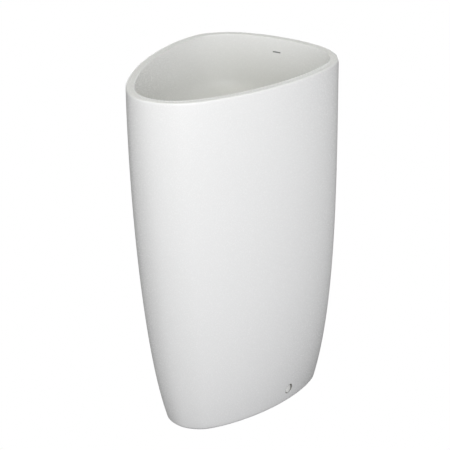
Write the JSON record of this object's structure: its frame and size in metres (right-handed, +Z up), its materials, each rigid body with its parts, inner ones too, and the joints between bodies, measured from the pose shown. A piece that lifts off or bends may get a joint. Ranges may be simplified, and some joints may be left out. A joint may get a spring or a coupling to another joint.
{
  "type": "pedestal washbasin",
  "caption": "Freestanding one-piece ceramic washbasin with a rounded triangular rim, tapering to the floor, with push plug waste, bottle trap and hidden floor fixings.",
  "frame": {"origin": "on the floor, under the middle of the basin's bounding box", "axes": "+Z up; +Y to the wall behind the flat side; -Y to the rounded point; +X to the right of a person facing the wall"},
  "size_m": [0.412, 0.582, 0.85],
  "materials": {
    "glazed_ceramic": "glossy white glaze",
    "chrome": "polished chrome plate on brass",
    "steel": "plain stainless steel",
    "rubber": "matt black rubber",
    "nylon": "natural nylon",
    "trap_plastic": "white polypropylene",
    "cap_plastic": "glossy white plastic"
  },
  "bodies": {
    "basin": {"basin_body": "glazed_ceramic", "left_bracket_nut": "steel", "left_fixing_bush": "nylon", "left_fixing_cap": "cap_plastic", "left_fixing_screw": "steel", "left_floor_bracket": "steel", "plug_cartridge": "nylon", "plug_spring": "steel", "right_bracket_nut": "steel", "right_fixing_bush": "nylon", "right_fixing_cap": "cap_plastic", "right_fixing_screw": "steel", "right_floor_bracket": "steel", "trap_body": "trap_plastic", "trap_cup": "trap_plastic", "trap_cup_seal": "rubber", "trap_head_nut": "trap_plastic", "trap_head_seal": "rubber", "trap_inlet_nut": "trap_plastic", "trap_inlet_seal": "rubber", "trap_inlet_tube": "trap_plastic", "trap_outlet_nut": "trap_plastic", "trap_outlet_pipe": "trap_plastic", "trap_outlet_seal": "rubber", "wall_rosette": "chrome", "waste_back_nut": "chrome", "waste_body": "chrome", "waste_lower_seal": "rubber", "waste_slip_washer": "nylon", "waste_top_seal": "rubber"},
    "plug": {"plug_dome": "chrome", "plug_seal": "rubber", "plug_stem": "steel"}
  },
  "joints": [
    {"name": "plug_press", "type": "slide", "parent": "basin", "child": "plug", "axis": [0, 0, 1], "range_m": [-0.008, 0], "stiffness_N_per_m": 600, "springref_m": 0.006, "deforming": ["plug_spring"]}
  ]
}
